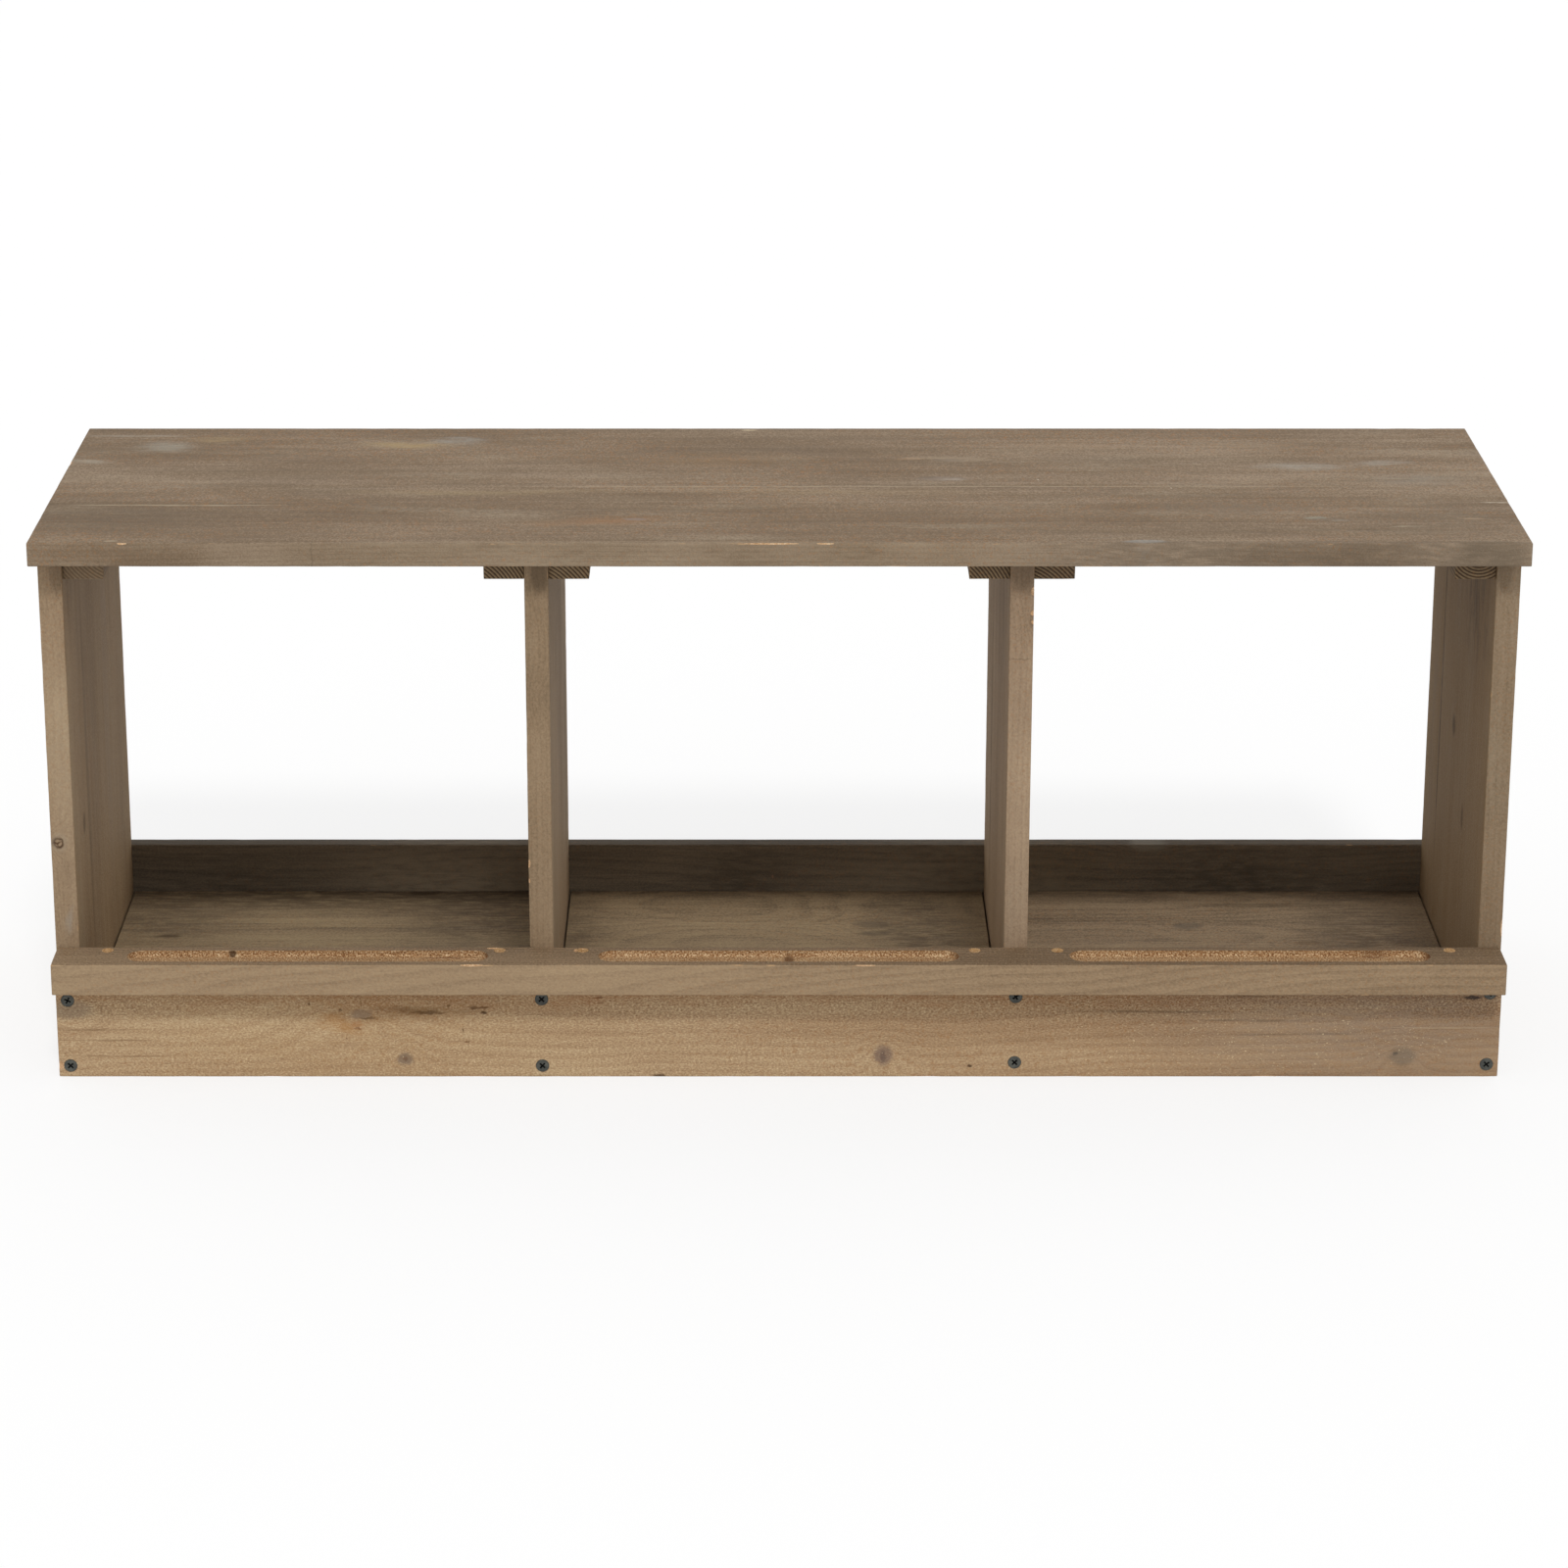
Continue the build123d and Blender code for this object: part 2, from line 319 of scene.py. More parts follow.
# %% [markdown]
# Each board has marks of its own: knots, cracks, smears and stains, and also soft patches of
# painted shade and painted light. A mark is an ellipsoid with a shade. Clouds shift its outline,
# finely on a knot, along the grain on a crack and widely on a soft stain or patch of painted
# shade, so that it never looks drawn. A knot is harder than the wood round it, and the rings
# swerve past it. A board lists its marks as rows. Along the edges the stain has rubbed away.

# %% Marks and rubbed edges
rub_start = 0.3 * mm
rub_end = 1.2 * mm
right_through = 900
knot_stray = 3.5 * mm
crack_stray = 2.4 * mm
# How far the outline of a soft stain or a soft patch of painted shade wanders.
stain_and_shade_stray = 26 * mm


def mark(along, across, long, wide, shade, strength, through=0, thick=right_through, hollow=False):
    """A knot, stain, speck or painted patch of shade or light: place from the middle, half sizes, in
    mm.
    """
    return (along, across, through), (long, wide, thick), shade, strength, hollow


def distance_from(wood, spot):
    """How far a place is from a mark: 0 at its middle and 1 at its rim."""
    place, size = spot[:2]
    middle = tuple(value * mm for value in place)
    scale = tuple(1 / (value * mm) for value in size)
    return ((wood - middle) * scale).length()


def spots(*rows):
    """A mark from each row, whose values stand in the order in which mark takes them."""
    return tuple(mark(*row) for row in rows)


def arris_closeness(local, half):
    """1 at the nearest edge of a board, falling to 0 a little way from it."""
    x, y, z = (tuple(half) - abs(local)).parts()
    second = x.top(y).least(y.top(z)).least(x.top(z))
    return 1 - second.step(rub_start, rub_end)


def swerve(board, marks):
    """How far the rings bend past the knots, the marks that are large and dark enough."""
    bend = board.parts()[0] * 0
    for spot in marks:
        long, wide = spot[1][:2]
        if min(long, wide) > 3 and max(long, wide) < 4 * min(long, wide):
            away = distance_from(board, spot)
            bend = bend + away.work("EXPONENT", away * away * -0.3)
    return bend


def marked(colour, board, marks):
    """A colour with the marks laid over it, their outlines made uneven."""
    uneven = board + (board.noise((230, 330, 330), 2.0) - 0.5) * knot_stray
    drawn = board + (board.noise((20, 200, 200), 2.0) - 0.5) * crack_stray
    cloudy = board + (board.noise((22, 60, 60), 3.0) - 0.5) * stain_and_shade_stray
    broken = board.noise((60, 260, 260), 3.0).step(0.3, 0.6)
    mottled = board.noise((70, 300, 300), 4.0, 0.6).step(0.35, 0.62)
    for spot in marks:
        size, shade, strength, hollow = spot[1:]
        soft = min(size[:2]) > 8
        streak = size[0] > 12 * size[1]
        away = distance_from(cloudy if soft else drawn if streak else uneven, spot)
        cover = 1 - away.step(0.1 if soft else 0.55, 1.2)
        if soft:
            cover = cover * (mottled * 0.6 + 0.45)
        elif size[0] > 4 * size[1]:
            cover = cover * (broken * 0.6 + 0.4)
        if hollow:
            cover = cover * away.step(0.4, 0.75)
        colour = colour.over(tone(shade), cover * strength)
    return colour


print("one knot as a mark:", spots((-253.7, -21, 6.0, 5.0, "7A6A5C", 0.8)))

# %% [markdown]
# The stain is a thin grey-brown wash. It sinks deeper into some fibres than others, so its level
# is a sum of rings, streaks, fibres, the speckle of a sawn face and slow patches. A ramp of three
# shades turns that level into a colour. Boards differ in how they took it: drift grows to the
# right, fade calms the speckle there, bloom leaves a grey film, and warmth and sparkle scatter
# orange and pale points. Other settings paint light and shade into the colour: painted light on
# the broad faces, more of it low down and painted shade high up, a painted warm bounce light on
# the broad faces, and painted shade on the top and on the face turned to the front. Marks and
# rubbed edges come on top.

# %% Stained timber
raw_tone = tone("C6A177")
warm_tone = tone("9C6C3E")
# The colour of warm light bounced off the wood, painted onto broad faces.
painted_bounce_tone = tone("8A6A3C")
bloom_tone = tone("ACA08A")
facing = (0.6, 0.9)
body_level = 0.53
stain_relief = 0.5 * mm


def timber(name, node, grain, shades, pith=(0, -70), lean=0.0, wander=1.0, spacing=3.4, rings=0.3,
           fibre=0.5, streak=0.5, speckle=0.6, pores=(640, 820), sparkle=0.0, patch=0.5, blotch=0.2,
           warmth=0.3, bloom=0.0, drift=0.0, fade=0.0, painted_shade_top=0.0, painted_shade_front=0.0, painted_light_below=0.0, painted_light_broad=0.0,
           painted_bounce=0.0, rubbed=0.4, strips=1, marks=(), seed=0.0):
    """A stained softwood finish that follows the rings of a tree through one board."""
    low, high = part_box(node)
    half = (high - low) / 2
    order = grain_order(half, grain)
    material, place, shader = open_finish(name, gloss=0.15)
    local = place - tuple((low + high) / 2)
    parts = local.parts()
    along, across, through = (parts[axis] for axis in order)
    board = along.beside(across, through)
    wood = board + (seed * 1.7, seed * 0.9, seed * 2.3)

    half_width = half[order[1]]
    in_strip, chance, glue = strip_places(across + half_width, 2 * half_width / strips, seed)
    apart = 1 if strips > 1 else 0
    sway = (wood.noise((3.5, 8, 8)) - 0.5) * (wander * 0.034)
    sideways = in_strip - along * lean + sway + (chance - 0.5) * (0.04 * apart) - pith[0] * mm
    depth = through - pith[1] * mm + chance * (0.02 * apart)
    shift = chance * 40 + swerve(board, marks) * 2.4
    late = ring_lines(sideways, depth, spacing * mm, shift)

    normal = Strand(material.node_tree).node("ShaderNodeTexCoord", {}, {}, output=1).parts()
    ends = abs(normal[grain]).step(*facing)
    broad = abs(normal[order[2]]).step(*facing)
    fibres = wood.noise((22, 600, 600), 3.0, 0.6) - 0.5
    streaks = wood.noise((2.0, 60, 60), 4.0, 0.65) - 0.5
    grains = wood.noise((*pores, 820), 2.0, 0.6) - 0.5
    patches = wood.noise((4, 14, 14), 3.0) - 0.5
    blotches = wood.noise((8, 36, 36), 3.0) - 0.5
    rightward = along.top(0) / half[grain]
    if fade:
        grains = grains * (1 - (rightward + 1) * (1 - across.step(0, 20 * mm)) * (fade / 2))
    detail = fibres * fibre + streaks * streak + grains * speckle
    level = body_level - late * (ends * 0.38 + rings) - ends * 0.12 + blotches * blotch
    level = level + detail * (broad * 0.5 + 0.5) + patches * patch + rightward * drift
    # Painted light on the broad faces, more of it low down and painted shade high up, then painted
    # shade on the top and on the face turned to the front.
    level = level + broad * ((0.5 - along / (2 * half[grain])) * painted_light_below + painted_light_broad)
    level = level - normal[2].step(0.7, 0.9) * painted_shade_top - (0 - normal[order[2]]).step(*facing) * painted_shade_front
    if strips > 1:
        level = level + (chance - 0.5) * 0.12 + glue * 0.22 * wood.noise((5, 0, 0)).step(0.45, 0.6)

    colour = level.ramp(shades)
    warm = wood.noise((430, 430, 430), 2.0).step(0.5, 0.75)
    warm = warm * wood.noise((6, 20, 20)).step(0.3, 0.65)
    colour = colour.over(warm_tone, warm * warmth)
    # Painted warm bounce light on the broad faces.
    if painted_bounce:
        colour = colour.over(painted_bounce_tone, broad * painted_bounce)
    if bloom:
        film = wood.noise((7, 34, 34), 4.0, 0.6).step(0.5, 0.7)
        film = film * wood.noise((260, 420, 420)).step(0.3, 0.6)
        colour = colour.over(bloom_tone, film * bloom)
    colour = marked(colour, board, marks)
    if sparkle:
        glints = wood.noise((760, 900, 900)).step(0.64, 0.74)
        glints = glints * wood.noise((7, 26, 26)).step(0.4, 0.6)
        colour = colour.over(tone(shades[2]), glints * sparkle)
    nibbled = wood.noise((70, 420, 420), 3.0).step(0.66 - rubbed * 0.2, 0.74 - rubbed * 0.2)
    rub = arris_closeness(local, half) * nibbled
    colour = colour.over(raw_tone, rub * 0.8)

    roughness = 0.78 - late * 0.1 + grains * 0.3
    height = fibres * 0.5 + grains * (speckle * 0.6) - late * 0.2 + streaks * 0.2 - rub * 0.3
    close_finish(shader, colour, roughness, height, stain_relief)
    return material


print("stained timber ready")

# %% [markdown]
# Where the router and the drill went through the stain, the wood is raw: orange-brown, rough and
# grainy, with short torn fibres. The same finish lines the grooves, the screw seats and the
# chips, so it follows no single board and takes its places straight from the object.

# %% Raw wood
raw_relief = 0.9 * mm


def raw_wood(name, shades, contrast=3.2, marks=()):
    """The torn, unstained wood of grooves, screw seats and chips."""
    material, place, shader = open_finish(name, gloss=0.15)
    fibres = place.noise((45, 420, 420), 3.0, 0.6) - 0.5
    grains = place.noise((920, 1000, 1000), 2.0, 0.6) - 0.5
    patches = place.noise((14, 40, 40)) - 0.5
    level = 0.5 + fibres * 0.4 + grains * contrast + patches * 0.3
    colour = marked(level.ramp(shades), place, marks)
    close_finish(shader, colour, 0.85 + grains * 0.2, fibres + grains * 1.5, raw_relief)
    return material


# The three rows at -197, 120.5 and 438 along are painted shade on the right end wall of each groove;
# the other rows are marks in the wood.
groove_marks = spots(
    (7, -133, 3.6, 8, "6E4A2E", 0.8, 86, 7), (-369, -125, 2.6, 3.4, "4A3320", 0.85, 87, 5),
    (-228, -129, 16, 1.4, "6B4226", 0.7, 86, 9), (-197, -137, 3.4, 9, "70482C", 0.55, 87, 9),
    (120.5, -137, 3.4, 9, "70482C", 0.55, 87, 9), (438, -137, 3.4, 9, "70482C", 0.55, 87, 9),
    (402, -127, 9, 4, "7A5232", 0.5, 87, 9),
)
groove_raw = raw_wood("raw_groove", ("7E5636", "B68C60", "EED4AC"), marks=groove_marks)
torn_raw = raw_wood("raw_torn", ("A87E54", "DAB288", "F4DEBC"), contrast=1.5)
plug_raw = raw_wood("raw_plug", ("A07448", "C69B68", "E2C196"))
print("raw finishes:", groove_raw.name, torn_raw.name, plug_raw.name)

# %% [markdown]
# Every board starts as a cube at the size and place that the frame gives. In edit mode its long
# edges are cut into short rows, so that it can be worn unevenly later, and its twelve arrises,
# which is what a joiner calls the sharp edges, are eased with a small bevel.

# %% Picking parts of a mesh
touch = 0.1 * mm


def pick(piece, kind, test):
    """In edit mode, selects the vertices, edges or faces that pass a test."""
    bpy.ops.mesh.select_mode(type=kind)
    bpy.ops.mesh.select_all(action="DESELECT")
    net = bmesh.from_edit_mesh(piece.data)
    chosen = {"VERT": net.verts, "EDGE": net.edges, "FACE": net.faces}[kind]
    for part in chosen:
        part.select = test(part)
    net.select_flush_mode()
    bmesh.update_edit_mesh(piece.data)


def runs_along(edge, axis):
    """True for an edge that runs along an axis."""
    way = edge.verts[1].co - edge.verts[0].co
    return abs(way[axis]) > 0.9 * way.length


def sides_met(place, low, high, reach):
    """How many pairs of a box's sides a place is within reach of: two at an arris."""
    return sum(min(place[axis] - low[axis], high[axis] - place[axis]) < reach for axis in range(3))


def on_arris(edge, low, high):
    """True for an edge that lies on one of the twelve arrises of a box."""
    middle = (edge.verts[0].co + edge.verts[1].co) / 2
    return sides_met(middle, low, high, touch) > 1


def only(piece):
    """Selects one object alone and makes it the active one."""
    bpy.ops.object.select_all(action="DESELECT")
    piece.select_set(True)
    bpy.context.view_layer.objects.active = piece


print("parts within", round(touch / mm, 1), "mm of a place are picked with it")

# %% Sawing a board
row_along = 7 * mm
row_across = 9 * mm
row_through = 5 * mm


def saw(node, grain, ease):
    """A cube of a node's size, cut into rows along each axis, with its arrises eased."""
    low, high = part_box(node)
    order = grain_order((high - low) / 2, grain)
    bpy.ops.object.select_all(action="DESELECT")
    bpy.ops.mesh.primitive_cube_add(size=1, location=(low + high) / 2, scale=high - low)
    piece = bpy.context.object
    piece.name = piece.data.name = f"{node}_timber"
    bpy.ops.object.transform_apply()
    bpy.ops.object.mode_set(mode="EDIT")
    for axis, row in zip(order, (row_along, row_across, row_through)):
        cuts = round((high[axis] - low[axis]) / row) - 1
        if cuts > 0:
            pick(piece, "EDGE", lambda edge: runs_along(edge, axis))
            bpy.ops.mesh.subdivide(number_cuts=cuts)
    pick(piece, "EDGE", lambda edge: on_arris(edge, low, high))
    bpy.ops.mesh.bevel(offset=ease, segments=3, profile=0.6)
    bpy.ops.object.mode_set(mode="OBJECT")
    return piece


print("rows every", round(row_along / mm), "by", round(row_across / mm), "millimetres")

# %% [markdown]
# No board keeps its perfect faces. Two displacements press them in, never out, so the board
# stays inside the size that the frame gives: slow dents over the whole face, and small nicks
# along the arrises. The clouds that drive them are stretched along the grain by an empty, whose
# scale the modifier reads, and which goes away once the modifier is applied.

# %% Knocking a board about
def cloud_texture(name, size, contrast, brightness):
    """A cloud texture for a displacement."""
    clouds = bpy.data.textures.new(name, "CLOUDS")
    clouds.noise_scale = size
    clouds.noise_depth = 2
    clouds.contrast = contrast
    clouds.intensity = brightness
    clouds.use_clamp = True
    return clouds


dents = cloud_texture("dents", 16 * mm, 1.0, 1.0)
nicks = cloud_texture("nicks", 4 * mm, 3.0, 1.55)
dent_stretch = 6.0
nick_stretch = 2.2
arris_reach = 1.1 * mm
smooth_angle = math.radians(38)


def press_in(piece, clouds, depth, stretch, group=""):
    """Presses a piece in by up to a depth, by clouds stretched along each axis."""
    bpy.ops.object.empty_add()
    guide = bpy.context.object
    guide.scale = stretch
    only(piece)
    press = piece.modifiers.new("press", "DISPLACE")
    press.texture = clouds
    press.texture_coords = "OBJECT"
    press.texture_coords_object = guide
    press.mid_level = 1.0
    press.strength = depth
    press.vertex_group = group
    bpy.ops.object.modifier_apply(modifier=press.name)
    bpy.data.objects.remove(guide)


def knock_about(piece, node, grain, dent, nick):
    """Dents a board's faces and nicks its arrises, then shades it smooth up to its edges."""
    low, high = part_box(node)
    arris = piece.vertex_groups.new(name="arris")
    close = [
        vertex.index
        for vertex in piece.data.vertices
        if sides_met(vertex.co, low, high, arris_reach) > 1
    ]
    arris.add(close, 1.0, "REPLACE")
    stretch = [1.0, 1.0, 1.0]
    stretch[grain] = dent_stretch
    press_in(piece, dents, dent, stretch)
    stretch[grain] = nick_stretch
    press_in(piece, nicks, nick, stretch, "arris")
    piece.vertex_groups.clear()
    bpy.ops.object.shade_smooth_by_angle(angle=smooth_angle)


print("textures:", dents.name, nicks.name)

# %% [markdown]
# Screw seats, grooves, plug holes and chips are cut with the Boolean modifier. Each cutter is
# modelled once and carries the raw finish, which the cut face takes over. The places of the
# screws come from the frame: a node holds a whole group of them, so a merged copy of its mesh is
# split into its separate solids, and the end of each that lies on the board's face is its mouth.

# %% Finding the screws
def solid_boxes(node):
    """The corners of each separate solid in a node, in a fixed order."""
    net = bmesh.new()
    net.from_mesh(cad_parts[node].data)
    bmesh.ops.remove_doubles(net, verts=net.verts, dist=touch / 10)
    waiting = set(net.verts)
    boxes = []
    while waiting:
        spread = [waiting.pop()]
        solid = []
        while spread:
            vertex = spread.pop()
            solid.append(vertex.co.copy())
            for edge in vertex.link_edges:
                other = edge.other_vert(vertex)
                if other in waiting:
                    waiting.remove(other)
                    spread.append(other)
        boxes.append((Vector(map(min, zip(*solid))), Vector(map(max, zip(*solid)))))
    net.free()
    return sorted(boxes, key=lambda box: tuple(round(value, 5) for value in box[0]))


def mouths(screws, board):
    """Each screw of a group that starts on a board's face: its mouth, the way out and its head."""
    board_low, board_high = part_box(board)
    found = []
    for low, high in solid_boxes(screws):
        size = high - low
        axis = max(range(3), key=lambda index: size[index])
        middle = (low + high) / 2
        beside = [index for index in range(3) if index != axis]
        if not all(board_low[index] < middle[index] < board_high[index] for index in beside):
            continue
        for end, way, face in ((low, -1, board_low), (high, 1, board_high)):
            if abs(end[axis] - face[axis]) < touch:
                middle[axis] = end[axis]
                outward = Vector((0, 0, 0))
                outward[axis] = way
                found.append((middle.copy(), outward, size[beside[0]]))
    return found


print("screws in the front board:", len(mouths("front_board_screws", "front_board")))

# %% [markdown]
# A screw's seat is a disc whose lower face is extruded and drawn in to the shank, then extruded
# again for the hole. A groove is a cylinder pulled apart into a slot, with its lower rim rounded
# by the router's bit. A chip is a ball, pressed long and thin, laid across the arris.

# %% Cutters
seat_play = 0.12 * mm
seat_rim = 0.6 * mm
overrun = 1.5 * mm


def lower_faces(face):
    """True for a face that looks down."""
    return face.normal.z < -0.9


def disc(name, radius, depth, sides):
    """A short cylinder from just above the origin down to a depth."""
    bpy.ops.object.select_all(action="DESELECT")
    bpy.ops.mesh.primitive_cylinder_add(
        vertices=sides,
        radius=radius,
        depth=depth + overrun,
        location=(0, 0, (overrun - depth) / 2),
        rotation=(0, 0, math.pi / sides),
    )
    piece = bpy.context.object
    piece.name = piece.data.name = name
    bpy.ops.object.transform_apply()
    return piece


def seat_cutter(head, length):
    """The shape of a countersunk hole for a head, mouth up at the origin."""
    radius = head / 2 + seat_play
    shank = head / 4 + seat_play
    piece = disc("seat_cutter", radius, seat_rim, 32)
    bpy.ops.object.mode_set(mode="EDIT")
    pick(piece, "FACE", lower_faces)
    bpy.ops.mesh.extrude_region_move(TRANSFORM_OT_translate={"value": (0, 0, shank - radius)})
    bpy.ops.transform.resize(value=(shank / radius,) * 2 + (1,), center_override=(0, 0, 0))
    bpy.ops.mesh.extrude_region_move(TRANSFORM_OT_translate={"value": (0, 0, -length)})
    bpy.ops.object.mode_set(mode="OBJECT")
    return piece


def slot_cutter(length, width, depth, bottom_round):
    """The shape of a routed groove along X, mouth up at the origin."""
    piece = disc("slot_cutter", width / 2, depth, 48)
    bpy.ops.object.mode_set(mode="EDIT")
    for way in (-1, 1):
        pick(piece, "VERT", lambda vertex: vertex.co.x * way > 0)
        bpy.ops.transform.translate(value=(way * (length - width) / 2, 0, 0))
    pick(piece, "EDGE", lambda edge: max(vertex.co.z for vertex in edge.verts) < touch - depth)
    bpy.ops.mesh.bevel(offset=bottom_round, segments=5, profile=0.5)
    bpy.ops.object.mode_set(mode="OBJECT")
    return piece


def chip_cutter(place, size, turn=0):
    """A ball pressed to a size in mm, for a chip at a place, turned by so many degrees."""
    angle = math.radians(turn)
    bpy.ops.object.select_all(action="DESELECT")
    bpy.ops.mesh.primitive_ico_sphere_add(
        subdivisions=2,
        radius=0.5,
        location=[value * mm for value in place],
        rotation=(angle, angle, angle * 0.2),
        scale=[value * mm for value in size],
    )
    bpy.ops.object.transform_apply()
    return bpy.context.object


print("a seat leaves its head", round(seat_play / mm, 2), "mm of play")

# %% Cutting
def copies_at(cutter, places):
    """A copy of a cutter at each mouth, facing the way out, and the first one removed."""
    copies = []
    for mouth, outward in places:
        turned = Vector((0, 0, 1)).rotation_difference(outward).to_matrix().to_4x4()
        copy = cutter.copy()
        copy.data = cutter.data.copy()
        copy.data.transform(Matrix.Translation(mouth) @ turned)
        bpy.context.collection.objects.link(copy)
        copies.append(copy)
    bpy.data.objects.remove(cutter)
    return copies


def cut_away(piece, cutters, finish):
    """Cuts the cutters out of a piece, leaving their finish on the cut faces."""
    for cutter in cutters:
        cutter.data.materials.clear()
        cutter.data.materials.append(finish)
    only(cutters[0])
    for cutter in cutters:
        cutter.select_set(True)
    bpy.ops.object.join()
    cutter = bpy.context.object
    only(piece)
    cut = piece.modifiers.new("cut", "BOOLEAN")
    cut.operation = "DIFFERENCE"
    cut.solver = "EXACT"
    cut.material_mode = "TRANSFER"
    cut.object = cutter
    bpy.ops.object.modifier_apply(modifier=cut.name)
    bpy.data.objects.remove(cutter)


print("cuts leave:", groove_raw.name, "or", torn_raw.name)

# %% [markdown]
# With those tools a board is one call: sawn, stained, cut for its screws, chipped where the
# photograph shows torn wood, and knocked about. It then takes the place of its node and rides on
# the box's only body, because nothing on this box moves.

# %% Making a board
seat_reach = 14 * mm
board_ease = 0.9 * mm
board_dent = 0.1 * mm
board_nick = 0.2 * mm
made = {}


def make_board(node, grain, finish, screws=(), cuts=(), chips=(), ease=board_ease,
               dent=board_dent, nick=board_nick):
    """One board of the box, finished and put in its node's place."""
    piece = saw(node, grain, ease)
    piece.data.materials.append(finish)
    for group in screws:
        found = mouths(group, node)
        if found:
            cutter = seat_cutter(found[0][2], seat_reach)
            cut_away(piece, copies_at(cutter, [spot[:2] for spot in found]), torn_raw)
    for cutters, raw in cuts:
        cut_away(piece, cutters, raw)
    if chips:
        cut_away(piece, [chip_cutter(*chip) for chip in chips], torn_raw)
    knock_about(piece, node, grain, dent, nick)
    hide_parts(node)
    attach(piece, "root")
    made[node] = len(piece.data.polygons)


print("a seat reaches", round(seat_reach / mm), "mm past its screw's head")

# %% [markdown]
# The roof is one wide panel, edge-glued from six strips. Its stain is even and a little grey,
# finely speckled, with pale wiped smears towards the ends, an orange patch round a knot left of
# the middle and a swirl right of it. One glue line shows pale for most of its length.

# %% Roof panel
roof_marks = spots(
    (-112, -92, 34, 11, "9A6C42", 0.45), (-96, -89, 9, 3.4, "8A8078", 0.6),
    (-150, -98, 26, 9, "96704A", 0.3), (119, 60, 11, 4, "6B5E52", 0.6), (128, 62, 22, 7, "A29079", 0.4),
    (104, 66, 18, 3, "A5937B", 0.5), (-430, 96, 26, 18, "A6A295", 0.5),
    (-478, 58, 18, 9, "B4AE9E", 0.5), (-455, 125, 40, 3, "A39A8B", 0.45),
    (-226, 112, 22, 14, "9C9B94", 0.5), (-262, 100, 36, 14, "AE9565", 0.55),
    (-395, 118, 26, 10, "A08A66", 0.45), (364, 44, 40, 12, "A8A49A", 0.5),
    (330, 96, 46, 16, "A08E78", 0.4), (300, -60, 60, 18, "7C6F60", 0.35),
    (440, 10, 40, 20, "8E8A80", 0.35), (358, -86, 9, 2.6, "9FA89A", 0.4),
    (373, -92, 7, 2.0, "A8A596", 0.4), (366, -90, 16, 6, "75685A", 0.35),
    (418, -106, 14, 1.5, "B4A88E", 0.5), (422, 54, 26, 9, "A8A49A", 0.4),
    (239, -142, 15, 4, "9DA09E", 0.5), (113, 12, 21, 7, "8B7D70", 0.5),
    (120, 10, 9, 2.6, "A89C8D", 0.5), (103, 15, 7, 2.2, "6C5E50", 0.5),
    (92, 63, 10, 2.2, "B49574", 0.5), (486, -48, 14, 1.4, "C8BCA8", 0.8),
    (462, -88, 8, 2.4, "B49A7C", 0.5), (89, -8, 322, 0.9, "B3A389", 0.65),
    (-406, -55, 76, 1.8, "B4A58B", 0.7), (-200, -22, 110, 9, "A3906C", 0.35),
    (40, -20, 120, 9, "A18C6C", 0.3), (-20, 141, 6, 2.4, "C2B092", 0.7),
    (-40, 60, 60, 16, "9A7C5A", 0.25), (210, 96, 50, 12, "9A8064", 0.25),
    (-330, 20, 70, 12, "7A6A54", 0.3), (446, -88, 90, 48, "645747", 0.36),
    (-440, -88, 84, 48, "645747", 0.42), (140, -104, 90, 10, "786955", 0.3),
    (268, -12, 1, 0.8, "D8CCBA", 0.9), (178, 9, 1, 0.8, "D8CCBA", 0.8),
    (-438, -141, 5, 1.4, "A99C86", 0.6), (-306, -146, 0.6, 9, "6A5B48", 0.6),
    (-90, -147, 260, 7, "A5947C", 0.32), (340, -147, 190, 7, "66594A", 0.55),
    (466, -147, 24, 7, "5E5242", 0.4),
)
roof_finish = timber(
    "stained_roof", "roof_panel", 0, ("5B4B39", "7D6A55", "A4917B"), strips=6, rings=0.06,
    streak=0.55, fibre=0.35, speckle=1.1, pores=(800, 480), sparkle=0.4, patch=0.55, blotch=0.45,
    warmth=0.55, bloom=0.25, drift=0.11, rubbed=0.15, marks=roof_marks, seed=3.0,
)
roof_chips = (
    ((-6, -140.6, 381), (44, 2.0, 1.8)), ((30, -140.6, 381), (14, 1.8, 1.6)),
    ((-492.4, 57, 381), (2.2, 12, 2.0)), ((-255, 152.4, 381), (22, 1.8, 1.6)),
    ((-430, -140.6, 381), (7, 2.2, 2.0)),
)
make_board("roof_panel", 0, roof_finish, chips=roof_chips, nick=0.18 * mm)
print("roof panel faces:", made["roof_panel"])
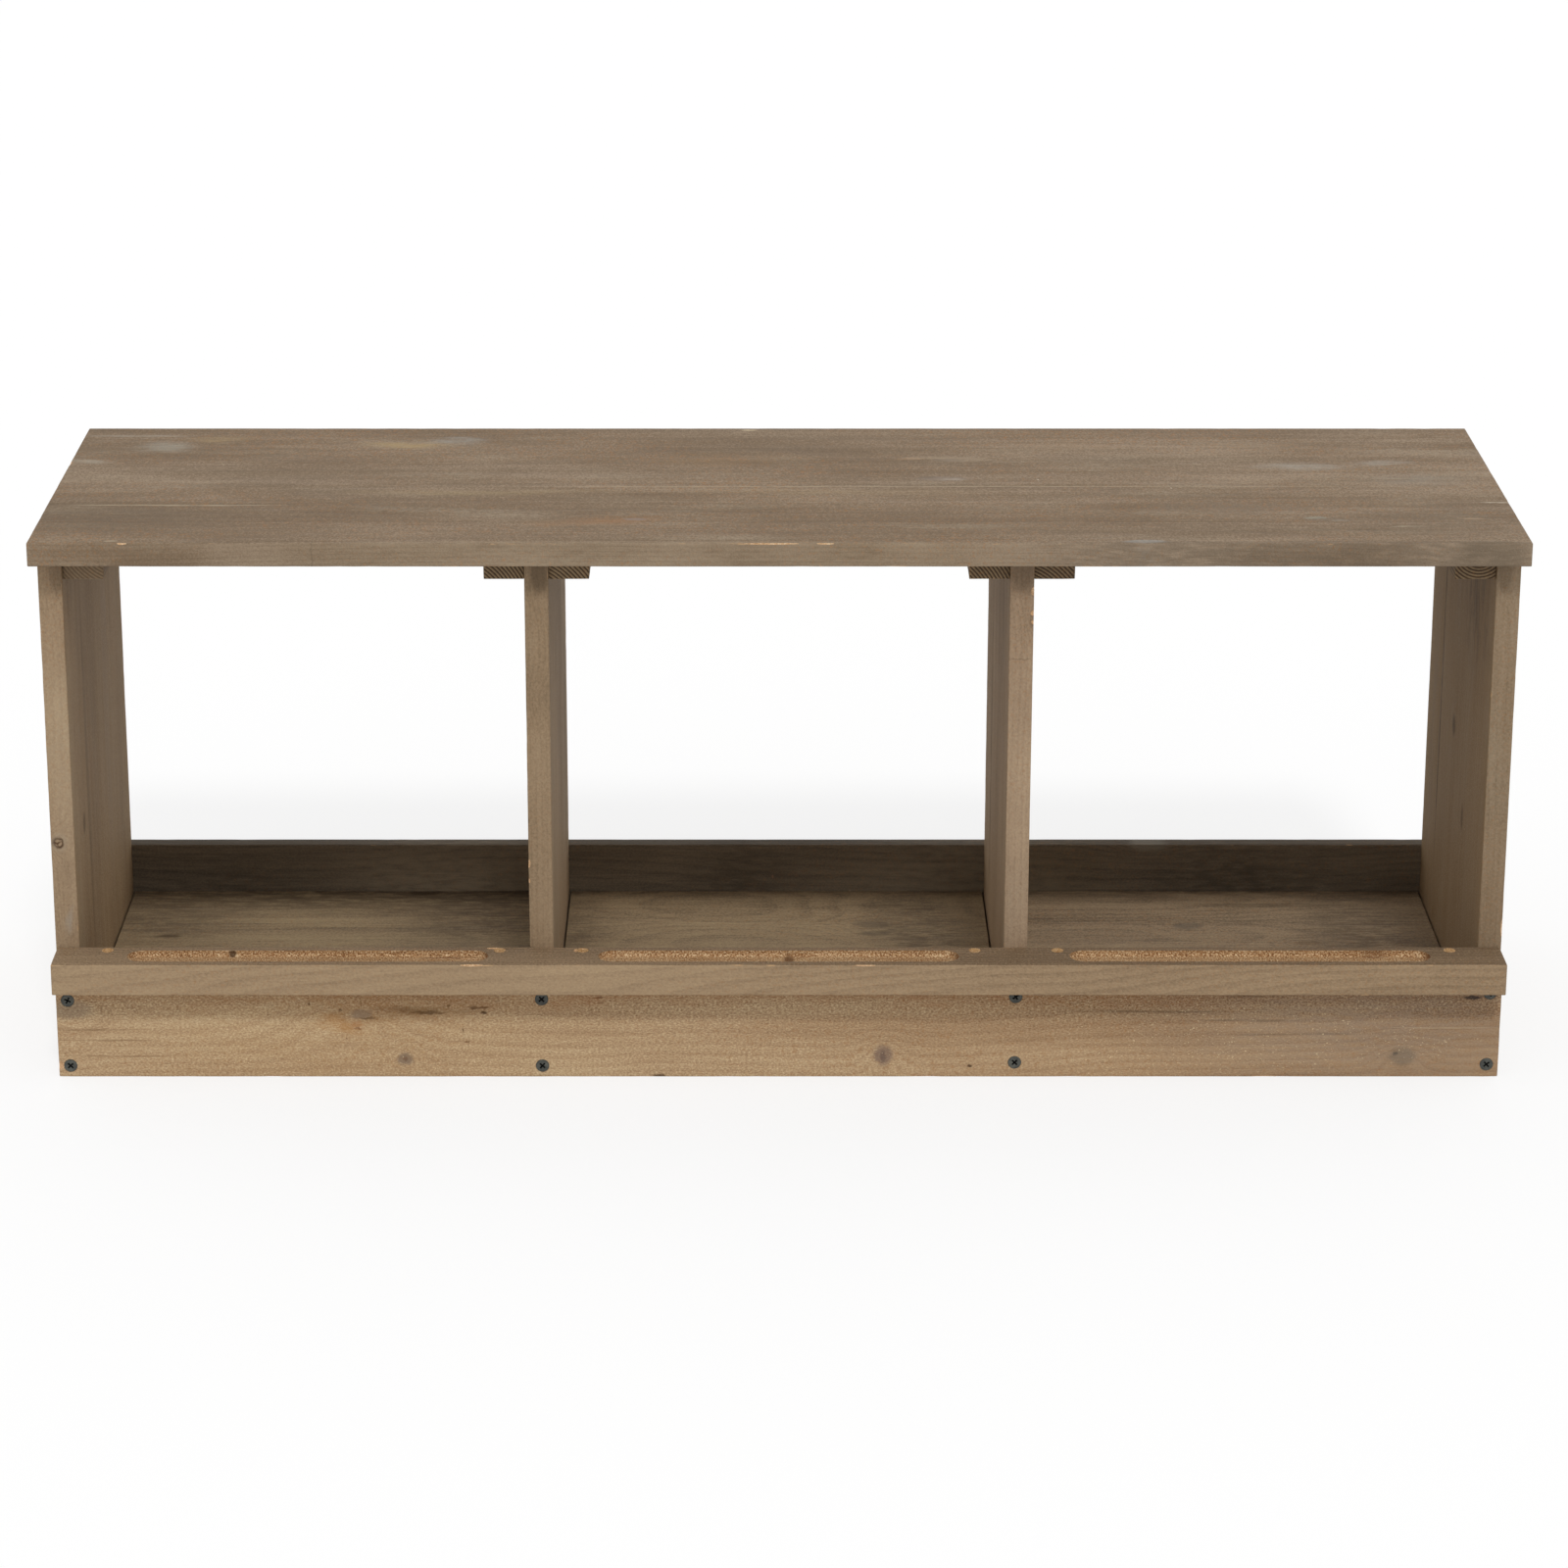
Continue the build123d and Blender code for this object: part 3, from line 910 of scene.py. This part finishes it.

# %% [markdown]
# The sides and the dividers are four boards of one kind, their grain upright. Only the sawing
# repeats: each is another piece of wood, with its own pith, knots and chips. A knot that was
# sawn through shows on the left side's front edge, and the dividers' front edges have lost a
# few splinters.

# %% Sides and dividers
# In each plan the first mark is the painted shadow of the roof on the top of the front edge. The
# amounts after the pith paint light, and warm bounce light, onto the broad faces.
upright_plans = {
    "left_side": dict(
        shades=("68553D", "988167", "B39C7E"), pith=(20, -50), painted_light_broad=0.06, painted_bounce=0.24, marks=spots(
            (171, -130, 13, 8, "4E3F2F", 0.3, 4, 5),
            (-17.5, -130, 4.6, 9, "3E2A1C", 0.95, -2.9, 4.4, True),
            (-18.6, -130, 2.4, 9, "4A3222", 0.9, -1.6, 2.2, True),
            (-17.6, -130, 1.0, 9, "4A3222", 0.8, -4.4, 2.6),
            (-17.5, -130, 7.5, 9, "A79A86", 0.3, -2.5, 6.5, True),
            (-40, -130, 14, 9, "75624E", 0.25, 0, 6), (-75, -130, 12, 9, "A0A09A", 0.3, 1, 3),
            (-20, -84, 8, 6, "544636", 0.5, 8, 3), (150, -104, 24, 16, "4E4234", 0.4, 8, 4),
            (60, 112, 160, 16, "8D7A62", 0.5, 8, 4), (0, -60, 150, 6, "4C4032", 0.35, 8, 4),
        ),
    ),
    "left_divider": dict(
        shades=("67553F", "927C62", "AE977A"), pith=(-60, -40), painted_light_broad=0.14, marks=spots(
            (171, -130, 14, 8, "4E3F2F", 0.5, 2, 7), (84, -130, 9, 9, "7C6A55", 0.35, 2, 5),
            (-1, -130, 3, 9, "5E4B38", 0.5, -8, 1.6), (0, 96, 190, 14, "3F3327", 0.7, 8, 4),
            (0, -112, 190, 10, "9A8568", 0.5, 8, 4),
        ),
    ),
    "right_divider": dict(
        shades=("69563F", "99826A", "B49C80"), pith=(40, -90), painted_light_broad=0.04, painted_bounce=0.15, marks=spots(
            (172, -130, 14, 8, "4E3F2F", 0.4, 0, 9), (140, -130, 7, 9, "6E5842", 0.45, 7, 2.4),
            (112, -130, 0.6, 9, "6A5642", 0.4, 0, 9), (130, -60, 60, 22, "55483A", 0.35, -8, 3),
            (0, 60, 190, 12, "44382B", 0.5, -8, 4), (0, 112, 190, 12, "84725C", 0.5, -8, 4),
        ),
    ),
    "right_side": dict(
        shades=("63513B", "8A765E", "A39079"), pith=(-20, -60), painted_light_broad=0.1, painted_bounce=0.42, marks=spots(
            (172, -130, 13, 8, "4E3F2F", 0.3, -3, 6), (-65, -130, 66, 9, "80684E", 0.25, 0, 12),
            (18, 12, 9, 7, "463829", 0.55, -8, 3), (-32, -40, 10, 5, "4A3B2A", 0.5, -8, 3),
            (130, -60, 60, 70, "54463A", 0.5, -8, 3), (40, 72, 160, 3, "3E3228", 0.6, -8, 4),
            (0, 104, 190, 20, "7C6A56", 0.4, -8, 4),
        ),
    ),
}
upright_chips = {
    "left_side": (),
    "left_divider": (
        ((-168.5, -119.5, 150), (2.8, 2.4, 7), 6), ((-168.5, -119.5, 138), (2.4, 2.2, 4), -8),
    ),
    "right_divider": (
        ((168.5, -119.5, 342), (4.2, 2.6, 7), 8), ((168.5, -119.5, 327), (5.0, 2.6, 4.4), -24),
        ((168.5, -119.5, 320.5), (3.6, 2.4, 3.2), 9),
    ),
    "right_side": (((489.5, -119.5, 104), (2.2, 2.2, 14)),),
}
for number, (node, plan) in enumerate(upright_plans.items()):
    # The broad faces get painted light low down and painted shade high up.
    upright_finish = timber(
        f"stained_{node}", node, 2, strips=4, rings=0.07, streak=0.6, fibre=0.5, speckle=1.4,
        pores=(720, 820), patch=0.7, blotch=0.5, bloom=0.15, painted_light_below=0.3, rubbed=0.1,
        seed=11.0 + number, **plan,
    )
    make_board(node, 2, upright_finish, chips=upright_chips[node], nick=0.22 * mm)
    print(node, "faces:", made[node])

# %% [markdown]
# The low board across the front is the roughest and lightest of all. Its sawn face holds the
# stain in grains, so it looks speckled. Left of the middle a grey knot sits in an orange glow
# under the ledge, with dark cracks to its right, and two round knots lie lower.

# %% Front board
front_marks = spots(
    (-297, 4, 22, 13, "A8702F", 0.5), (-260, 13, 70, 9, "8A6038", 0.35),
    (-283, 11.6, 8, 4.2, "887868", 0.7), (-278, 8.8, 7, 0.9, "553E2C", 0.75),
    (-286, 4.2, 4, 2.4, "A8764E", 0.5), (-285.5, 1.2, 3.4, 0.8, "6E442E", 0.7),
    (-262, 15.8, 16, 2.6, "755234", 0.5), (-237, 13.3, 12, 1.7, "3E2A1B", 1.0),
    (-240, 14.4, 22, 3.2, "70502F", 0.5), (-212, 13.8, 14, 1.6, "7A5A3C", 0.4),
    (-203, 16.6, 8, 1.0, "503522", 0.85), (-199.5, 13.2, 2.6, 1.3, "3E2A1B", 0.9),
    (-283, 20.7, 0.6, 4.0, "66492F", 0.7), (-317.5, 19.6, 0.8, 1.4, "543722", 0.85),
    (-297, 14.6, 1.6, 1.0, "543722", 0.85), (-293, -5.7, 0.6, 1.1, "5C412C", 0.8),
    (-214, 0.5, 0.6, 1.8, "543722", 0.8), (-211, -8, 1.8, 0.9, "6A4831", 0.75),
    (-223.6, 18, 1.4, 0.9, "5C402B", 0.8), (-253.7, -21, 6.0, 5.0, "7A6A5C", 0.8),
    (-253.7, -21, 2, 1.8, "66493A", 0.6), (-122, 24, 3.4, 0.8, "5C432F", 0.75),
    (-121, 20, 2.4, 0.8, "5C432F", 0.65), (71, -18.2, 7, 8, "7C675A", 0.75),
    (71, -19, 2.2, 5, "66524A", 0.6), (130, -26, 2, 1.2, "503A28", 0.9),
    (424, -19, 10, 7.4, "706352", 0.6), (419, -17, 2, 1.5, "4C4032", 0.8),
    (-81, -33, 5, 1.6, "503A28", 0.8), (322, 25, 24, 1.3, "604830", 0.5),
    (470, 24, 7, 1.6, "30221A", 1.0), (250, 14, 60, 1.0, "66503A", 0.6),
    (330, 7, 50, 0.9, "6E5942", 0.6), (360, -3, 60, 0.9, "6E5942", 0.5),
    (452, 2, 34, 0.8, "B8A080", 0.6), (-480, 15, 17, 7.5, "7D7468", 0.36),
    (-462, 0.4, 34, 0.7, "7E6447", 0.6), (-458, -7.4, 36, 0.7, "84694C", 0.6),
    (-450, -18.8, 46, 0.7, "84694C", 0.5), (-440, -3.2, 28, 1.4, "C6AC88", 0.45),
    (-442, -12.6, 32, 1.3, "C2A885", 0.4), (-400, 6.5, 60, 1.6, "BEA280", 0.35),
    # The first row below is painted warm shade under the ledge, partly the stain's own colour; the rest
    # of these rows are tints of the stain.
    (-60, 27, 560, 11, "9A663C", 0.42), (-300, 0, 200, 60, "B08850", 0.15),
    (400, 0, 170, 60, "948A7F", 0.3),
)
front_finish = timber(
    "stained_front", "front_board", 0, ("7C5D40", "B49775", "E2CDA6"), pith=(30, -90), lean=0.02,
    rings=0.08, streak=0.25, fibre=0.2, speckle=1.95, pores=(620, 1080), sparkle=0.8, patch=0.5,
    warmth=0.4, drift=-0.28, fade=0.8, rubbed=0.4, marks=front_marks, seed=21.0,
)
front_chips = (
    ((-489.5, -131.5, 8.4), (8.4, 3.6, 6.6)), ((-343, -131.5, 0.2), (14, 2.2, 2.2)),
    ((100, -131.5, 0.2), (22, 2.0, 2.0)), ((330, -131.5, 0.2), (18, 2.0, 2.0)),
    ((-205, -131.5, 0.2), (26, 1.8, 1.8)),
)
make_board(
    "front_board", 0, front_finish, screws=("front_board_screws",),
    chips=front_chips, nick=0.25 * mm,
)
print("front board faces:", made["front_board"])

# %% [markdown]
# The back board is the same shape. It sits in the roof's shadow, and more shade is painted on it:
# on its top, on the face turned to the front, and in wide patches along it, between which some
# patches are painted lighter.

# %% Back board
# The rows at 0 across with 60 half high are painted shade where dark and painted light where pale; they
# show through to the outer face too. The first three rows are specks.
back_marks = spots(
    (273, 33, 15, 4, "8A8274", 0.6), (-3, 9, 0.8, 1.6, "A5826A", 0.8),
    (54, -3, 0.8, 1.6, "A08A70", 0.8), (-395, 0, 90, 60, "373129", 0.36),
    (-240, 0, 100, 60, "978872", 0.6), (-25, 0, 55, 60, "373129", 0.5), (125, 0, 90, 60, "978872", 0.5),
    (207, 0, 66, 60, "87775F", 0.4), (335, 0, 80, 60, "373129", 0.6), (420, 0, 80, 60, "433B30", 0.35),
)
# The top and the face turned to the front get painted shade.
back_finish = timber(
    "stained_back", "back_board", 0, ("463F36", "897A66", "A59684"), pith=(-20, -60), lean=-0.01,
    rings=0.07, streak=0.3, fibre=0.3, speckle=0.4, patch=0.4, painted_shade_top=0.4, painted_shade_front=0.26, rubbed=0.0,
    marks=back_marks, seed=31.0,
)
make_board("back_board", 0, back_finish, screws=("back_board_screws",))
print("back board faces:", made["back_board"])

# %% [markdown]
# The ledge is the perch. A router has cut three shallow slots with round ends in its top, one to
# each bay, for the hens' feet, and a drill has sunk six holes over its screws, which are closed
# with plugs. Its own rings rise slowly across the front face.

# %% Ledge
groove_length = 243 * mm
groove_width = 20 * mm
groove_depth = 4 * mm
groove_round = 2 * mm
groove_pitch = 317.5 * mm
plug_play = 0.1 * mm
ledge_low, ledge_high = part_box("front_ledge")
ledge_middle = (ledge_low.y + ledge_high.y) / 2
# The top gets painted shade, as it lies under the roof.
ledge_finish = timber(
    "stained_ledge", "front_ledge", 0, ("6E5A44", "A1896C", "BCA482"), pith=(60, -34), lean=-0.05,
    wander=0.5, rings=0.1, streak=0.25, fibre=0.45, speckle=1.15, sparkle=0.15, patch=0.35,
    drift=-0.15, painted_shade_top=0.26, rubbed=0.1, seed=41.0,
)
ledge_chips = (
    ((-206, -152.5, 90), (17, 2.6, 2.2)), ((58, -152.5, 90), (16, 1.7, 1.7)),
    ((-430, -119.5, 90), (16, 2.4, 2.4)), ((-150, -119.5, 90), (30, 2.6, 2.4)),
    ((150, -119.5, 90), (40, 2.2, 2.4)), ((395, -119.5, 90), (16, 2.2, 2.4)),
    ((-193, -122, 90), (9, 2.6, 1.6)), ((-137, -126, 90), (3, 6, 2.4)),
    ((-238, -130.6, 86), (44, 1.0, 4)), ((-209, -131, 86), (12, 1.6, 3)),
)
up = Vector((0, 0, 1))
slots = [(Vector((x, ledge_middle, ledge_high.z)), up) for x in (-groove_pitch, 0, groove_pitch)]
slot_shape = slot_cutter(groove_length, groove_width, groove_depth, groove_round)
plug_boxes = solid_boxes("ledge_plugs")
plug_mouths = [((low + high) / 2 + up * (high.z - low.z) / 2, up) for low, high in plug_boxes]
plug_size = plug_boxes[0][1] - plug_boxes[0][0]
hole_shape = disc("hole", plug_size.x / 2 + plug_play, plug_size.z, 32)
ledge_cuts = (
    (copies_at(slot_shape, slots), groove_raw),
    (copies_at(hole_shape, plug_mouths), torn_raw),
)
make_board(
    "front_ledge", 0, ledge_finish, cuts=ledge_cuts, chips=ledge_chips,
    dent=0.14 * mm, nick=0.22 * mm,
)
print("ledge faces:", made["front_ledge"])

# %% [markdown]
# The plugs are short dowels of raw wood. They were cut off by hand, so their tops are uneven.

# %% Plugs
plug_ease = 0.5 * mm
plug_slope = 1.2 * mm
plug_dish = 0.15 * mm
plug_wear = 0.5 * mm


def dowel(mouth, size):
    """One plug: a cylinder with an eased rim and an uneven top."""
    piece = disc("dowel", size.x / 2, size.z - overrun, 24)
    bpy.ops.object.mode_set(mode="EDIT")
    pick(piece, "FACE", lambda face: face.normal.z > 0.9)
    bpy.ops.mesh.inset(thickness=plug_ease)
    bpy.ops.mesh.inset(thickness=plug_slope)
    bpy.ops.transform.translate(value=(0, 0, -plug_dish))
    bpy.ops.object.mode_set(mode="OBJECT")
    high = max(corner[2] for corner in piece.bound_box)
    piece.data.transform(Matrix.Translation(mouth - up * high))
    return piece


dowels = [dowel(mouth, plug_size) for mouth, _ in plug_mouths]
only(dowels[0])
for piece in dowels:
    piece.select_set(True)
bpy.ops.object.join()
plugs = bpy.context.object
plugs.name = plugs.data.name = "ledge_plug_dowels"
plugs.data.materials.append(plug_raw)
press_in(plugs, nicks, plug_wear, (1, 1, 1))
bpy.ops.object.shade_smooth_by_angle(angle=smooth_angle)
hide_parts("ledge_plugs")
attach(plugs, "root")
print("plugs:", len(dowels))

# %% [markdown]
# One floor board to a bay, glued from strips like the roof. Hens would scratch here, and the
# stain is darker and greyer than outside, with fine straight lines and a few soft knots. Shade is
# painted along the back, where the roof's shadow falls, and at the ends.

# %% Floor boards
# The long rows across the back, 110 to 136 across, and the wide rows, 70 mm or more across, at the ends
# and back corners are painted shade; the other rows are knots, lines and specks.
floor_plans = {
    "floor_left": dict(shades=("5D4F3E", "917D61", "AE9B78"), lean=0.03, rings=0.18, marks=spots(
        (0, 136, 420, 34, "382C20", 0.75), (0, 110, 150, 36, "4A3D2F", 0.5),
        (112, 90, 80, 110, "3E3329", 0.62), (-122, 80, 80, 70, "463A2D", 0.5),
        (-115, 38.5, 10, 2.8, "473827", 0.7), (-108, 38.5, 26, 6, "5A4A38", 0.3),
        (-92, 93, 30, 0.8, "A09078", 0.5), (62, 124, 14, 4, "3E3122", 0.8),
        (-76, 60, 0.6, 14, "8A7A64", 0.4),
    )),
    "floor_middle": dict(shades=("60513F", "978265", "B4A07D"), lean=0.0, rings=0.14, marks=spots(
        (0, 136, 420, 22, "3C3023", 0.5), (69, 62, 15, 8, "5D5245", 0.45),
        (70, 44, 13, 5, "5D5245", 0.45), (80, 98, 40, 12, "40352A", 0.4),
        (-54, -33, 1, 1, "B8A98E", 0.8), (104, 10, 50, 190, "3F342A", 0.6),
        (-152, 20, 40, 150, "4A3D2F", 0.55),
    )),
    "floor_right": dict(shades=("605140", "978268", "B4A080"), lean=-0.01, rings=0.14, marks=spots(
        (0, 136, 420, 26, "3C3023", 0.65), (-25, 58, 12, 7, "655C50", 0.5),
        (58, 25, 12, 4, "7A6044", 0.4), (-46, 30, 24, 3, "5F5344", 0.3),
        (30, 100, 60, 5, "4A3E2F", 0.4), (100, 10, 52, 190, "3F342A", 0.58),
    )),
}
for number, (node, plan) in enumerate(floor_plans.items()):
    floor_finish = timber(
        f"stained_{node}", node, 0, strips=4, streak=0.5, fibre=0.55, speckle=1.0,
        pores=(700, 620), patch=0.5, rubbed=0.0, seed=51.0 + number, **plan,
    )
    make_board(node, 0, floor_finish)
    print(node, "faces:", made[node])

# %% [markdown]
# Twelve cleats hold the roof and the floor to the uprights. The front ends of the upper ones
# show in the photograph: sawn end grain, in which the rings run slanting or curve, so each
# cleat has its pith in another corner.

# %% Cleats
cleat_piths = {
    "left_bay_left": (30, 30), "left_bay_right": (-34, -30), "middle_bay_left": (-30, -34),
    "middle_bay_right": (-44, -36), "right_bay_left": (-28, -38), "right_bay_right": (2, 12),
}
cleat_shades = {"left_bay_left": ("6E5C48", "937D62", "AC9676")}
cleat_screws = {
    "roof_cleat": ("roof_screws", "roof_cleat_screws"),
    "floor_cleat": ("floor_screws", "floor_cleat_screws"),
}
for level, groups in cleat_screws.items():
    for number, (bay_end, pith) in enumerate(cleat_piths.items()):
        node = f"{level}_{bay_end}"
        cleat_finish = timber(
            f"stained_{node}", node, 1, cleat_shades.get(bay_end, ("483829", "937D60", "B8A284")),
            pith=pith, spacing=2.2, wander=0.25, rings=0.36, streak=0.5, fibre=0.6, speckle=0.6,
            rubbed=0.2, seed=61.0 + number,
        )
        make_board(node, 1, cleat_finish, screws=groups, ease=0.6 * mm)
print("cleats made:", sum("cleat" in name for name in made))

# %% [markdown]
# The screws keep their own solids, which are right already: flat heads with a cross. They are
# black-coated steel, rubbed to a dull dark grey on the face, and black down in the cross, where
# the coating and the dirt stay and shade is painted. How deep a point lies under its head tells
# one from the other.

# %% Screws
coat_tone = tone("444541")
rubbed_tone = tone("60615A")
cross_dirt_and_shade_tone = tone("0B0B0B")
face_skin = (0.05 * mm, 0.16 * mm)
steel_relief = 0.15 * mm


def screw_steel(name, face_axis, face_places):
    """Dull coated steel, black below the faces at these places along an axis."""
    material, place, shader = open_finish(name, gloss=0.4)
    shader.inputs["Metallic"].default_value = 0.35
    position = place.parts()[face_axis]
    depth = abs(position - face_places[0])
    for face in face_places[1:]:
        depth = depth.least(abs(position - face))
    deep_dirt_and_shade = depth.step(*face_skin)
    scuffs = place.noise((260, 260, 260), 4.0, 0.6)
    wear = place.noise((900, 900, 900), 2.0)
    shades = {0: scuffs.step(0.35, 0.75), 6: coat_tone, 7: rubbed_tone}
    coat = scuffs.node("ShaderNodeMix", {"data_type": "RGBA"}, shades, output=2)
    # Black in the cross: coating and dirt, with painted shade of the recess.
    colour = coat.over(cross_dirt_and_shade_tone, deep_dirt_and_shade)
    close_finish(shader, colour, 0.5 + scuffs * 0.25, scuffs + wear * 0.5, steel_relief)
    return material


boards = [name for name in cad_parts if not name.endswith("_screws")]
for node in sorted(set(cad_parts) - set(boards)):
    boxes = solid_boxes(node)
    size = boxes[0][1] - boxes[0][0]
    axis = max(range(3), key=lambda index: size[index])
    heads = {round(mouth[axis], 4) for name in boards for mouth, _, _ in mouths(node, name)}
    heads = heads or {round(boxes[0][1][axis], 4)}
    steel = screw_steel(f"steel_{node}", axis, sorted(heads))
    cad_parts[node].data.materials.clear()
    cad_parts[node].data.materials.append(steel)
    print(node, "heads at", [round(value / mm, 1) for value in sorted(heads)])
